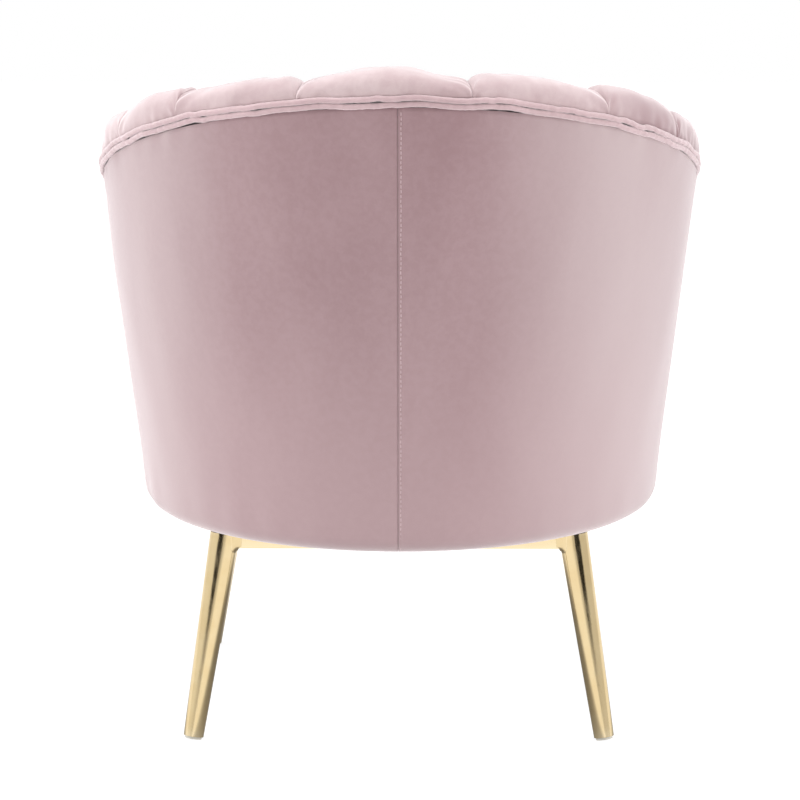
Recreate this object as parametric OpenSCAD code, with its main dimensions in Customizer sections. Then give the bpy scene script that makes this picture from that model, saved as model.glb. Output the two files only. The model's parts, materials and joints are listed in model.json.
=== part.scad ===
// Channel-back tub armchair on a splayed, gold-finished metal base.
// The chair faces -Y, stands on Z = 0 and is symmetric about X = 0, apart from its channels.
// Left and right are the sitter's: left is +X. The tub's own centre lies at Y = tub_y.

/* [Tub] */
// Height of the tub's underside above the floor
tub_z = 248; // [235:1:260]
// Outer radius of the tub where its sides would meet the underside
base_r = 310; // [300:1:325]
// Outward lean of the tub's sides, in degrees
flare_deg = 7; // [5:0.5:9]
// Radius of the rounded bottom edge
edge_r = 25; // [20:1:28]
// Length of the straight arms ahead of the tub's centre
arm_len = 300; // [285:5:320]
// Height of the outer cover's top edge at the back
rim_back_z = 788; // [765:1:800]
// Fall of that edge towards the front, height per length
rim_slope = 0.36; // [0.30:0.01:0.40]
// Fall of the edge at the arm fronts, height per length
rim_front_slope = 0.12; // [0.05:0.01:0.2]

/* [Upholstery] */
// Thickness of the wall from the outer cover to the face of the channels
wall_t = 82; // [78:1:86]
// Thickness of the channel padding
pad_t = 44; // [40:1:46]
// Height that the channels rise above the outer cover's edge beside the seat
lobe_rise = 48; // [30:1:52]
// Height of the chair's highest point, where the middle channels end
overall_h = 820; // [800:1:850]
// Thickness of the covering velvet
cloth_t = 2; // [1.5:0.1:2.5]
// Diameter of each cord of the double welt
welt_d = 6.4; // [5:0.1:8]

/* [Seat] */
// Height of the loose cushion between its top and bottom faces
cushion_h = 108; // [90:1:120]
// Half the width of the loose cushion
cushion_r = 232; // [226:1:233]
// Radius of the cushion's front corners
cushion_corner_r = 50; // [35:1:70]
// Diameter of the cushion's piping
piping_d = 5.2; // [4:0.1:5.4]

/* [Base] */
// Sideways distance from the middle to each foot
foot_x = 246; // [240:1:255]
// Lengthways distance from the tub's centre to each foot
foot_y = 220; // [214:1:228]
// Sideways distance from the middle to each leg's top
leg_top_x = 207; // [203:1:210]
// Lengthways distance from the tub's centre to each leg's top
leg_top_y = 184; // [180:1:187]
// Radius of a leg at its foot
leg_foot_r = 12; // [11:0.5:13]
// Radius of a leg at its top
leg_top_r = 18; // [16:0.5:19]
// Wall of the tapered leg tube
leg_wall = 1.5; // [1.2:0.1:2]
// Side of the square tube that joins the legs
rail_d = 20; // [16:1:22]

/* [Hidden] */
$fn = 96;
gap = 0.3;
flare = tan(flare_deg);
rear_r = base_r + flare * (rim_back_z - tub_z);
rim_ease = (rim_slope - rim_front_slope) / (2 * arm_len);
rim_steps = 10;

// Depths below the outer skin, measured square to it
board_depth = cloth_t + 0.4;
board_t = 3;
timber_depth = board_depth + board_t + 4.6;
pad_depth = wall_t - pad_t;
timber_t = pad_depth - timber_depth - 1;
timber_top = 14;
top_rail_h = 36;
post_w = 44;

// Heights of the seat, from the timber ring up
ring_z = tub_z + cloth_t + 0.2;
ring_h = 80;
ring_r = 276;
ring_t = 24;
post_z = ring_z + 28;
web_z = ring_z + ring_h + 0.2;
web_t = 1.5;
web_w = 50;
web_x = 84;
web_y = 90;
deck_z = web_z + 2 * web_t + 0.5;
deck_t = 8.4;
deck_r = 236;
cushion_z = deck_z + deck_t + 0.5;
pad_z = deck_z;

// Front edge of the seat, as distances ahead of the tub's centre
front_rail_y = arm_len;
apron_y = front_rail_y + 14;
apron_r = 12;
cushion_front = apron_y + 10;
nose_r = wall_t / 2 - 2.2;
nose_depth = wall_t / 2 + 2;

// Undersides
tuck_r = 262;
dust_t = 1;

// Corner hardware of the base
plate_t = 3;
bolt_r = 4;
bolt_head_r = 7;
bolt_head_h = 5;
washer_t = 1.6;
bolt_spots = [[150, 159], [182, 127]];
block_h = 40;
tee_barrel_h = 11;
tee_barrel_r = 5.2;
glide_t = 3;
glide_inset = 2;
floor_cut = 1.2;
leg_lean = atan(norm([foot_x - leg_top_x, foot_y - leg_top_y]) / tub_z);
leg_heading = atan2(leg_top_y - foot_y, leg_top_x - foot_x);
glide_r = leg_foot_r - glide_inset;
leg_start = glide_t + (glide_r * sin(leg_lean) - floor_cut) / cos(leg_lean);
leg_l = tub_z / cos(leg_lean) + 10;
leg_turn = 150;
weld_bulge = 2.5;
weld_reach = 3.5;

// Double welt: each cord's drop below the cover's edge and both cords' distance off the skin
welt_upper_drop = -3;
welt_lower_drop = 4;
welt_out = 0;
welt_corner = 26;
welt_edge = welt_lower_drop + welt_d / 2 + 0.4;
edge_steps = 5;
welt_foot_z = tub_z + edge_r;

// The tub is set so that the whole chair is centred on Y = 0
rear_reach = rear_r - flare * welt_upper_drop + welt_out + welt_d / 2;
front_reach = arm_len + nose_r;
tub_y = (front_reach - rear_reach) / 2;

// Joints between the back channels, in degrees from the middle of the back towards +X
channel_joints = [-90, -64, -40.5, -13, 18, 44, 65, 90];
joint_gap_deg = 0.06;
arm_channels = 2;
channel_count = len(channel_joints) - 1 + 2 * arm_channels;

velvet = [0.80, 0.66, 0.68];
velvet_dark = [0.72, 0.57, 0.59];
gold = [0.86, 0.74, 0.50];
timber = [0.78, 0.64, 0.45];
steel = [0.70, 0.70, 0.72];
foam = [0.93, 0.88, 0.72];
black_cloth = [0.13, 0.13, 0.14];
nylon = [0.85, 0.84, 0.80];

CORNERS = [["front_left", 1, -1], ["front_right", -1, -1], ["rear_left", 1, 1], ["rear_right", -1, 1]];
SIDES = [["left", 1], ["right", -1]];

// ---- Shared geometry -------------------------------------------------------------------

// Radius of the outer skin at height z, and of a surface a given depth below that skin
function skin_r(z) = base_r + flare * (z - tub_z);
function at_depth(d, z) = skin_r(z) - d / cos(flare_deg);

// Height of the outer cover's edge at distance y from the tub's centre
function rim_z(y) = rim_back_z - rim_slope * (rear_r - y) + (y < 0 ? rim_ease * y * y : 0);

// Points on an arc, counter-clockwise from angle a0 to a1
function arc(cx, cy, r, a0, a1, steps = 8) =
    [for (i = [0 : steps]) let (a = a0 + (a1 - a0) * i / steps) [cx + r * cos(a), cy + r * sin(a)]];

module in_tub() translate([0, tub_y, 0]) children();

module on_side(side) {
    if (side < 0) mirror([1, 0, 0]) children();
    else children();
}

module at_corner(c) {
    mirror([c[1] < 0 ? 1 : 0, 0, 0]) mirror([0, c[2] < 0 ? 1 : 0, 0]) children();
}

// Turns a wall profile, drawn as radius and height, about the tub's centre
module sector(a0, a1) rotate([0, 0, 90 - a1]) rotate_extrude(angle = a1 - a0) children();

// Runs the same profile straight forward along the +X arm
module arm_run(y0, y1) translate([0, -y0, 0]) rotate([90, 0, 0]) linear_extrude(y1 - y0) children();

// Leaning strip between two depths and two heights
module strip(d0, d1, z0, z1) polygon([
    [at_depth(d1, z0), z0], [at_depth(d0, z0), z0], [at_depth(d0, z1), z1], [at_depth(d1, z1), z1]]);

// Everything lower than the rim surface, raised by the given amount
module under_rim(rise) rotate([90, 0, 90]) linear_extrude(1000, center = true) polygon(concat(
    [for (i = [0 : rim_steps]) let (y = -(arm_len + 60) * (1 - i / rim_steps)) [y, rim_z(y) + rise]],
    [[450, rim_z(450) + rise], [450, 100], [-arm_len - 60, 100]]));

// Side view of the wall inside its rim by the given margin, with a rounded front corner
function edge_corner(margin) =
    let (front = -arm_len + margin, corner = welt_corner - margin, top = rim_z(front + corner) - margin)
    [for (a = [0 : 90 / edge_steps : 90]) [front + corner * (1 - cos(a)), top - corner * (1 - sin(a))]];
function edge_line(margin) = let (start = -arm_len + welt_corner)
    [for (i = [1 : 6]) let (y = start * (1 - i / 6)) [y, rim_z(y) - margin]];
module inside_edge(margin) rotate([90, 0, 90]) linear_extrude(1000, center = true) polygon(concat(
    [[-arm_len + margin, 100]], edge_corner(margin), edge_line(margin),
    [[450, rim_z(450) - margin], [450, 100]]));

// The room between the two walls, from the given depth inwards
module between_arms(d) rotate([90, 0, 0]) linear_extrude(500) polygon([
    [-at_depth(d, 200), 200], [at_depth(d, 200), 200], [at_depth(d, 500), 500], [-at_depth(d, 500), 500]]);

// Seat outline: round at the back, straight at the sides, with rounded front corners
module d_shape(r, front, corner) {
    circle(r);
    translate([-r, -front + corner]) square([2 * r, front - corner]);
    translate([-r + corner, -front]) square([2 * (r - corner), front]);
    for (s = [-1, 1]) translate([s * (r - corner), -front + corner]) circle(corner);
}

// ---- Metal base ------------------------------------------------------------------------

// The leg's own axis; leg_turn keeps each round face's seam line clear of the rails and welds
module leg_axis() translate([foot_x, foot_y, 0]) rotate([0, leg_lean, leg_heading])
    rotate([0, 0, leg_turn]) children();

module leg_form(extra = 0) leg_axis() translate([0, 0, leg_start])
    cylinder(h = leg_l, r1 = leg_foot_r + extra, r2 = leg_top_r + extra);

module leg(c) color(gold) in_tub() at_corner(c) difference() {
    leg_form();
    leg_form(-leg_wall);
    translate([0, 0, tub_z]) cube_around(800, 100);
}

// A square block that stands on Z = 0 about the Z axis
module cube_around(side, h) translate([-side / 2, -side / 2, 0]) cube([side, side, h]);

module glides() color(nylon) in_tub() for (c = CORNERS) at_corner(c) difference() {
    leg_axis() {
        translate([0, 0, leg_start - glide_t]) cylinder(h = glide_t, r = glide_r);
        translate([0, 0, leg_start]) cylinder(h = 14, r = leg_foot_r - leg_wall - 0.4);
    }
    translate([0, 0, -50]) cube_around(800, 50);
}

// Square tube between two legs: along X for front and rear, along Y for the sides
module rail_bar(along_x, grow = 0) {
    h = rail_d + grow;
    if (along_x) translate([-leg_top_x, leg_top_y - rail_d / 2 - grow, tub_z - h])
        cube([2 * leg_top_x, rail_d + 2 * grow, h]);
    else translate([leg_top_x - rail_d / 2 - grow, -leg_top_y, tub_z - h])
        cube([rail_d + 2 * grow, 2 * leg_top_y, h]);
}

module rail_bore(along_x) {
    d = rail_d - 3;
    if (along_x) translate([-300, leg_top_y - d / 2, tub_z - 1.5 - d]) cube([600, d, d]);
    else translate([leg_top_x - d / 2, -300, tub_z - 1.5 - d]) cube([d, 600, d]);
}

module rail(along_x, c) color(gold) in_tub() at_corner(c) difference() {
    rail_bar(along_x);
    rail_bore(along_x);
    for (k = CORNERS) at_corner(k) leg_form(0.2);
}

module weld_beads() color(gold) in_tub() for (c = CORNERS) at_corner(c) for (along_x = [true, false])
    difference() {
        intersection() {
            rail_bar(along_x, weld_bulge);
            leg_form(weld_reach);
            translate([0, 0, 200]) cube([400, 400, 100]);
        }
        leg_form(0.1);
        rail_bar(true, along_x ? 0 : weld_bulge + 0.1);
        rail_bar(false);
    }

module corner_plates() color(steel) in_tub() for (c = CORNERS) at_corner(c) difference() {
    translate([leg_top_x - rail_d / 2, leg_top_y - rail_d / 2, tub_z - plate_t]) linear_extrude(plate_t)
        polygon([[-0.1, -0.1], [-72, -0.1], [-72, -24], [-24, -72], [-0.1, -72]]);
    leg_form(weld_reach + 0.4);
    for (p = bolt_spots) translate([p[0], p[1], 0]) cylinder(h = 400, r = bolt_r + 0.5);
}

module at_bolts(z) in_tub() for (c = CORNERS) at_corner(c) for (p = bolt_spots)
    translate([p[0], p[1], z]) children();

module base_bolts() color(steel) at_bolts(tub_z - plate_t - washer_t) {
    translate([0, 0, -bolt_head_h]) cylinder(h = bolt_head_h, r = bolt_head_r, $fn = 6);
    cylinder(h = block_h + 4, r = bolt_r);
}

module base_washers() color(steel) at_bolts(tub_z - plate_t - washer_t) difference() {
    cylinder(h = washer_t, r = bolt_head_r + 1.5);
    translate([0, 0, -1]) cylinder(h = 4, r = bolt_r + 0.3);
}

module tee_nuts() color(steel) at_bolts(ring_z + block_h) difference() {
    union() {
        cylinder(h = 1.5, r = 10);
        translate([0, 0, -tee_barrel_h]) cylinder(h = tee_barrel_h + 1, r = tee_barrel_r);
    }
    translate([0, 0, -20]) cylinder(h = 40, r = bolt_r + 0.1);
}

// ---- Timber frame ----------------------------------------------------------------------

module seat_rail_rear() color(timber) in_tub() translate([0, 0, ring_z])
    rotate_extrude(angle = 180) translate([ring_r - ring_t, 0]) square([ring_t, ring_h]);

module seat_rail_side(side) color(timber) in_tub() on_side(side)
    translate([ring_r - ring_t, -front_rail_y, ring_z]) cube([ring_t, front_rail_y, ring_h]);

module seat_rail_front() color(timber) in_tub()
    translate([-ring_r + ring_t + 0.2, -front_rail_y, ring_z])
    cube([2 * (ring_r - ring_t - 0.2), ring_t, ring_h]);

module corner_blocks() color(timber) in_tub() for (c = CORNERS) at_corner(c) difference() {
    translate([0, 0, ring_z]) linear_extrude(block_h) intersection() {
        circle(ring_r - ring_t - 0.3);
        polygon([[118, 225], [118, 150], [172, 96], [240, 96], [240, 225]]);
    }
    for (p = bolt_spots) translate([p[0], p[1], 0]) {
        cylinder(h = 400, r = bolt_r + 0.5);
        translate([0, 0, ring_z + block_h - tee_barrel_h]) cylinder(h = 50, r = tee_barrel_r + 0.1);
    }
}

module webbing_lengthwise() color(black_cloth) in_tub() for (i = [-2 : 2]) {
    back = sqrt(pow(ring_r - 6, 2) - pow(abs(i * web_x) + web_w / 2, 2));
    translate([i * web_x - web_w / 2, -front_rail_y + 8, web_z])
        cube([web_w, back + front_rail_y - 8, web_t]);
}

module webbing_crosswise() color(black_cloth) in_tub() for (i = [-2 : 2]) {
    y = i * web_y - 75;
    half = y + web_w / 2 < 0 ? ring_r - 6 : sqrt(pow(ring_r - 6, 2) - pow(y + web_w / 2, 2));
    translate([-half, y - web_w / 2, web_z + web_t + 0.2]) cube([2 * half, web_w, web_t]);
}

// Leaning post in the wall, flat faces inside the curved board and behind the padding
module post_form() translate([at_depth(timber_depth + 0.7, 0), -post_w / 2, 0]) rotate([0, flare_deg, 0])
    translate([-timber_t, 0, post_z]) cube([timber_t, post_w, 600]);

module post_rear(a) color(timber) in_tub() intersection() {
    rotate([0, 0, 90 - a]) post_form();
    under_rim(-timber_top - top_rail_h - 0.4);
}

module post_front(side) color(timber) in_tub() on_side(side) intersection() {
    translate([0, -arm_len + post_w / 2 + 4, 0]) post_form();
    under_rim(-timber_top - top_rail_h - 0.4);
}

module top_rail_band() difference() {
    under_rim(-timber_top);
    under_rim(-timber_top - top_rail_h);
}

module back_top_rail() color(timber) in_tub() intersection() {
    sector(-89.95, 89.95) strip(timber_depth, timber_depth + timber_t, 500, 820);
    top_rail_band();
}

module arm_top_rail(side) color(timber) in_tub() on_side(side) intersection() {
    arm_run(0, arm_len - 2) strip(timber_depth, timber_depth + timber_t, 450, 820);
    top_rail_band();
}

module backing_board(side) color([0.62, 0.50, 0.36]) in_tub() on_side(side) intersection() {
    union() {
        sector(joint_gap_deg, 90) strip(board_depth, board_depth + board_t, post_z, 820);
        arm_run(0, arm_len) strip(board_depth, board_depth + board_t, post_z, 820);
    }
    inside_edge(welt_edge + 0.6);
}

// ---- Outer covers and trim -------------------------------------------------------------

// Velvet skin: tucked under the frame, round the bottom edge and up the leaning side
module cover_profile() {
    cx = base_r + flare * edge_r - edge_r / cos(flare_deg);
    cy = tub_z + edge_r;
    outer = arc(cx, cy, edge_r, -90, -flare_deg);
    inner = arc(cx, cy, edge_r - cloth_t, -flare_deg, -90);
    polygon(concat([[tuck_r, tub_z + cloth_t], [tuck_r, tub_z]], outer,
        [[skin_r(820), 820], [at_depth(cloth_t, 820), 820]], inner));
}

module outer_cover(side) color(velvet) in_tub() on_side(side) intersection() {
    union() {
        sector(joint_gap_deg / 2, 90) cover_profile();
        arm_run(0, arm_len) cover_profile();
    }
    inside_edge(welt_edge);
}

// Padded front end of an arm, half round in plan and leaning with the wall
module arm_front(side) color(velvet) in_tub() on_side(side) intersection() {
    translate([at_depth(nose_depth, 0), -arm_len, 0]) rotate([0, flare_deg, 0])
        cylinder(h = 800, r = nose_r);
    translate([0, -arm_len - 100 - gap, tub_z]) cube([500, 100, 600]);
    under_rim(lobe_rise - 10);
}

module apron_foam() color(foam) in_tub() intersection() {
    rotate([90, 0, 90]) linear_extrude(700, center = true) polygon(concat(
        [[-front_rail_y - gap, ring_z], [-front_rail_y - gap, web_z + 8]],
        arc(-apron_y + apron_r, web_z + 8 - apron_r + cloth_t, apron_r - cloth_t - 0.2, 90, 180),
        arc(-apron_y + apron_r, tub_z + apron_r, apron_r - cloth_t - 0.2, 180, 270)));
    between_arms(wall_t + 3);
}

module apron_cover() color(velvet) in_tub() intersection() {
    rotate([90, 0, 90]) linear_extrude(700, center = true) polygon(concat(
        [[-front_rail_y, cushion_z - 0.6]],
        arc(-apron_y + apron_r, cushion_z - 0.6 - apron_r, apron_r, 90, 180),
        arc(-apron_y + apron_r, tub_z + apron_r, apron_r, 180, 270),
        [[-front_rail_y + 14, tub_z], [-front_rail_y + 14, tub_z + cloth_t]],
        arc(-apron_y + apron_r, tub_z + apron_r, apron_r - cloth_t, 270, 180),
        arc(-apron_y + apron_r, cushion_z - 0.6 - apron_r, apron_r - cloth_t, 180, 90),
        [[-front_rail_y, cushion_z - 0.6 - cloth_t]]));
    between_arms(wall_t + 0.5);
}

module dust_cover() color(black_cloth) in_tub() difference() {
    translate([0, 0, tub_z]) linear_extrude(dust_t) intersection() {
        d_shape(tuck_r - 0.4, front_rail_y - 14.4, 8);
        translate([-300, -front_rail_y + 14.4]) square([600, 700]);
    }
    for (c = CORNERS) at_corner(c) for (p = bolt_spots)
        translate([p[0], p[1], 0]) cylinder(h = 400, r = bolt_r + 1);
}

// Staples that hold the dust cover round the back and along both sides
module staples() color(steel) in_tub() {
    staple_r = tuck_r - 5;
    for (a = [-84 : 12 : 84]) if (abs(abs(a) - 48) > 9) rotate([0, 0, -a])
        translate([-6, staple_r, tub_z - 0.8]) cube([12, 1.2, 0.7]);
    for (s = [-1, 1]) for (y = [-30 : -45 : -120])
        translate([s * staple_r - 0.6, y, tub_z - 0.8]) cube([1.2, 12, 0.7]);
}

// ---- Double welt -----------------------------------------------------------------------

// Where the rim surface, lowered by drop, meets the skin at angle a from the back's middle
function rim_height(a, drop) =
    let (s = rim_slope * cos(a), low = rim_back_z - drop - rim_slope * rear_r)
    (low + s * (base_r + welt_out - flare * tub_z)) / (1 - s * flare);
function on_back(a, drop) =
    let (z = rim_height(a, drop), r = skin_r(z) + welt_out) [r * sin(a), r * cos(a), z];
function on_arm(y, z) = [skin_r(z) + welt_out, y, z];

// One side of the cord's path, from the foot of the arm's front to the middle of the back
function welt_half(drop) =
    let (low = [-arm_len + drop, welt_foot_z], rise = edge_corner(drop)[0][1] - welt_foot_z)
    concat(
        [for (i = [0 : 3]) on_arm(low[0], low[1] + rise * i / 4)],
        [for (p = concat(edge_corner(drop), edge_line(drop))) on_arm(p[0], p[1])],
        [for (a = [85 : -5 : 0]) on_back(a, drop)]);
function welt_path(drop) = let (half = welt_half(drop))
    concat(half, [for (i = [len(half) - 2 : -1 : 0]) [-half[i][0], half[i][1], half[i][2]]]);
function unit(v) = v / norm(v);

// Tube of the given radius swept along a path of points
module swept_tube(path, r, sides = 8) {
    n = len(path);
    rings = [for (i = [0 : n - 1]) let (
        t = unit(path[min(i + 1, n - 1)] - path[max(i - 1, 0)]),
        out = [path[i][0], max(path[i][1], 0), 0],
        u = unit(out - (out * t) * t),
        v = cross(t, u))
        for (k = [0 : sides - 1]) let (a = 360 * k / sides) path[i] + r * (cos(a) * u + sin(a) * v)];
    walls = [for (i = [0 : n - 2], k = [0 : sides - 1]) let (m = (k + 1) % sides)
        [i * sides + k, (i + 1) * sides + k, (i + 1) * sides + m, i * sides + m]];
    ends = [[for (k = [0 : sides - 1]) k], [for (k = [sides - 1 : -1 : 0]) (n - 1) * sides + k]];
    polyhedron(points = rings, faces = concat(walls, ends));
}

module welt(drop) color(velvet) in_tub() swept_tube(welt_path(drop), welt_d / 2);

// ---- Channelled inside -----------------------------------------------------------------

// Padding in front of the timber that also rolls over the top of it
module channel_cut() difference() {
    intersection() {
        union() children();
        under_rim(lobe_rise);
        translate([0, 0, overall_h - 700]) cube_around(900, 700);
    }
    intersection() {
        union() {
            sector(-95, 95) strip(-20, pad_depth, 200, 900);
            for (s = [-1, 1]) on_side(s) arm_run(-1, arm_len + 50) strip(-20, pad_depth, 200, 900);
        }
        under_rim(-timber_top + 0.5);
    }
}

module pad_strip() strip(cloth_t + 4.4, wall_t, pad_z, 860);

// Channels 1 to 2 are on the right arm, 3 to 9 round the back, 10 to 11 on the left arm
module channel(i) color(i % 2 == 0 ? velvet : velvet_dark) in_tub() {
    back = len(channel_joints) - 1;
    k = i - 1 - arm_channels;
    channel_cut() {
        if (k >= 0 && k < back)
            sector(channel_joints[k] + joint_gap_deg, channel_joints[k + 1] - joint_gap_deg) pad_strip();
        else on_side(k < 0 ? -1 : 1) {
            n = k < 0 ? arm_channels - i : k - back;
            arm_run(n * arm_len / arm_channels + gap, (n + 1) * arm_len / arm_channels) pad_strip();
        }
    }
}

module seat_deck() color(velvet_dark) in_tub() translate([0, 0, deck_z]) linear_extrude(deck_t)
    d_shape(deck_r, front_rail_y - 1, 4);

// ---- Loose seat cushion ----------------------------------------------------------------

module cushion_form(inset) translate([0, 0, cushion_z + inset]) linear_extrude(cushion_h - 2 * inset)
    d_shape(cushion_r - inset, cushion_front - inset, cushion_corner_r - inset);

module cushion_case() color(velvet) in_tub() difference() {
    cushion_form(0);
    cushion_form(cloth_t);
}

module cushion_core() color(foam) in_tub() cushion_form(cloth_t + 0.3);

module piping(z) color(velvet) in_tub() translate([0, 0, z]) {
    out = piping_d / 2 + 0.1;
    rp = cushion_r + out;
    rc = cushion_corner_r + out;
    front = cushion_front - cushion_corner_r;
    rotate_extrude(angle = 180) translate([rp, 0]) circle(piping_d / 2);
    for (s = [-1, 1]) {
        translate([s * rp, 0, 0]) rotate([90, 0, 0]) cylinder(h = front, r = piping_d / 2);
        translate([s * (cushion_r - cushion_corner_r), -front, 0]) rotate([0, 0, s > 0 ? -90 : 180])
            rotate_extrude(angle = 90) translate([rc, 0]) circle(piping_d / 2);
    }
    translate([-cushion_r + cushion_corner_r, -cushion_front - out, 0]) rotate([0, 90, 0])
        cylinder(h = 2 * (cushion_r - cushion_corner_r), r = piping_d / 2);
}

module cushion_zip() color(velvet_dark) in_tub() {
    zip_z = cushion_z + cushion_h / 2;
    sector(-50, 50) translate([cushion_r + 0.1, zip_z - 6]) square([1.2, 12]);
    sector(46, 49) translate([cushion_r + 1.4, zip_z - 4]) square([1.6, 8]);
}

// ---- Nodes -----------------------------------------------------------------------------

for (c = CORNERS) leg(c);
glides();
rail(true, CORNERS[0]);  // rail_front
rail(true, CORNERS[2]);  // rail_rear
rail(false, CORNERS[2]);  // rail_left
rail(false, CORNERS[3]);  // rail_right
weld_beads();
corner_plates();
base_bolts();
base_washers();
tee_nuts();
seat_rail_front();
seat_rail_rear();
for (s = SIDES) seat_rail_side(s[1]);
corner_blocks();
webbing_lengthwise();
webbing_crosswise();
seat_deck();
post_rear(0);  // post_rear_centre
for (s = SIDES) post_rear(s[1] * 50);
for (s = SIDES) post_front(s[1]);
back_top_rail();
for (s = SIDES) arm_top_rail(s[1]);
for (s = SIDES) backing_board(s[1]);
for (s = SIDES) outer_cover(s[1]);
for (i = [1 : channel_count]) channel(i);
for (s = SIDES) arm_front(s[1]);
apron_foam();
apron_cover();
welt(welt_upper_drop);  // welt_upper
welt(welt_lower_drop);  // welt_lower
dust_cover();
staples();
cushion_core();
cushion_case();
piping(cushion_z + cushion_h - 3);  // piping_top
piping(cushion_z + 3);  // piping_bottom
cushion_zip();
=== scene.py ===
import json
import math

import bmesh
import bpy
import numpy as np
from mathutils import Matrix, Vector
from mathutils.bvhtree import BVHTree


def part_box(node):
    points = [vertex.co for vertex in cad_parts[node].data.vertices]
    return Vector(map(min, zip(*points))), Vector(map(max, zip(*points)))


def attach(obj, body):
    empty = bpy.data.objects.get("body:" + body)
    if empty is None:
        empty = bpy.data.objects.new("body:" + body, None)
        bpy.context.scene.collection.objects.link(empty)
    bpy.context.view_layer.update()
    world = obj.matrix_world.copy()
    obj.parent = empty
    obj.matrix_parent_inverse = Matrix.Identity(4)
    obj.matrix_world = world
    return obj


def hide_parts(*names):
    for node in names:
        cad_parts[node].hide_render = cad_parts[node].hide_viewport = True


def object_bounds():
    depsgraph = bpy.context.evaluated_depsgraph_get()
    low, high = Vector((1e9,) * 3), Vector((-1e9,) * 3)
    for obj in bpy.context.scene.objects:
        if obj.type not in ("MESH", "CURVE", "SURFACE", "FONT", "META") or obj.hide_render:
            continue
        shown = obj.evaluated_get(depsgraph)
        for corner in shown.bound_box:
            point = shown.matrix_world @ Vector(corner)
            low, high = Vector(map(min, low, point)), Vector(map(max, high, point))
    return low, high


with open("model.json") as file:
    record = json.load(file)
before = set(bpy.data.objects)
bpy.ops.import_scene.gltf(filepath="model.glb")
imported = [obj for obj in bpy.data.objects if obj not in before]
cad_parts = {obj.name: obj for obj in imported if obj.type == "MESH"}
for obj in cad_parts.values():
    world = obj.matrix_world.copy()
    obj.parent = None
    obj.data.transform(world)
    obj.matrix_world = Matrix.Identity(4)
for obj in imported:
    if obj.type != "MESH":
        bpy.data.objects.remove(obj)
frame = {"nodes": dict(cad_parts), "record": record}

cad_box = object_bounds()
SCENE = bpy.context.scene
MM = 0.001
TAU = 2 * math.pi

# The tub's own numbers, read from the frame where it has them
TUB_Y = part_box("seat_rail_rear")[0].y
TUB_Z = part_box("outer_cover_left")[0].z
RIM_BACK = cad_box[1].z - 32 * MM
ARM_LEN = TUB_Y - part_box("seat_rail_front")[0].y
DECK_LOW, DECK_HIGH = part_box("seat_deck")
BASE_R = 310 * MM
FLARE = math.tan(math.radians(7))
COS_FLARE = math.cos(math.radians(7))
EDGE_R = 25 * MM
EDGE_CENTRE = BASE_R + FLARE * EDGE_R - EDGE_R / COS_FLARE
RIM_SLOPE = 0.36
RIM_EASE = (RIM_SLOPE - 0.12) / (2 * ARM_LEN)
REAR_R = BASE_R + FLARE * (RIM_BACK - TUB_Z)
R_REF = 0.34
QUARTER = R_REF * math.pi / 2
ARM_END = QUARTER + ARM_LEN
WALL = 82 * MM
RIM_CORNER = 26 * MM
CORNER_S = ARM_END - RIM_CORNER


# ---- Numbers and shapes ----

def waves(points, wavelength, seed, stretch=(1, 1, 1), count=9):
    """Smooth seeded relief of about unit height at the given wavelength, one value for each point."""
    draw = np.random.default_rng(seed)
    total = 0
    for _ in range(count):
        direction = draw.normal(size=3)
        direction = direction / np.linalg.norm(direction) / np.array(stretch)
        length = wavelength * draw.uniform(0.7, 1.5)
        total = total + np.sin(points @ direction * TAU / length + draw.uniform(0, TAU))
    return total / math.sqrt(count / 2)


def smooth(x, low, high):
    """Rises smoothly from 0 at low to 1 at high."""
    t = np.clip((np.asarray(x, float) - low) / (high - low), 0, 1)
    return t * t * (3 - 2 * t)


def skin_radius(z):
    """Radius of the tub's smooth outer skin at height z."""
    return BASE_R + FLARE * (z - TUB_Z)


def place_r(s, r, z):
    """Point at distance s along the wall from the middle of the back, at radius r and height z."""
    s, r, z = np.broadcast_arrays(np.asarray(s, float), r, z)
    angle = np.clip(s, -QUARTER, QUARTER) / R_REF
    beyond = np.maximum(np.abs(s) - QUARTER, 0)
    return np.stack([r * np.sin(angle), TUB_Y + r * np.cos(angle) - beyond, z], -1)


def place(s, depth, z):
    """The same point given by its depth below the outer skin."""
    return place_r(s, skin_radius(z) - depth / COS_FLARE, z)


def edge_point(s, a):
    """Point on the rounded lower edge of the cover, turned by angle a from level."""
    return place_r(s, EDGE_CENTRE + EDGE_R * math.cos(a), TUB_Z + EDGE_R + EDGE_R * math.sin(a))


def rim_z(y):
    """Height of the outer cover's edge at distance y from the tub's centre."""
    return RIM_BACK - RIM_SLOPE * (REAR_R - y) + np.where(y < 0, RIM_EASE * y * y, 0)


def rim_height(s):
    """Height of that edge at distance s along the wall."""
    z = np.full(np.shape(s), RIM_BACK)
    for _ in range(12):
        z = rim_z(place_r(s, skin_radius(z), z)[..., 1] - TUB_Y)
    return z


def edge_height(s, margin):
    """Height of a line the given margin inside the rim, which turns down round the arm's front."""
    reach = np.maximum(np.abs(s) - CORNER_S, 0)
    corner = np.sqrt(np.maximum((RIM_CORNER - margin) ** 2 - reach ** 2, 0))
    return rim_height(np.minimum(np.abs(s), CORNER_S)) - RIM_CORNER + corner


def level_units(vectors):
    """The level parts of some vectors, each one unit long."""
    vectors = vectors * [1, 1, 0]
    return vectors / np.maximum(np.linalg.norm(vectors, axis=-1, keepdims=True), 1e-6)


def grid_normals(grid, outward_from):
    """Unit normals of a grid of points, turned away from the given point."""
    normal = np.cross(np.gradient(grid, axis=0), np.gradient(grid, axis=1))
    normal /= np.maximum(np.linalg.norm(normal, axis=-1, keepdims=True), 1e-12)
    middle = tuple(n // 2 for n in grid.shape[:2])
    if np.dot(normal[middle], grid[middle] - np.array(outward_from)) < 0:
        normal = -normal
    return normal


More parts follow.
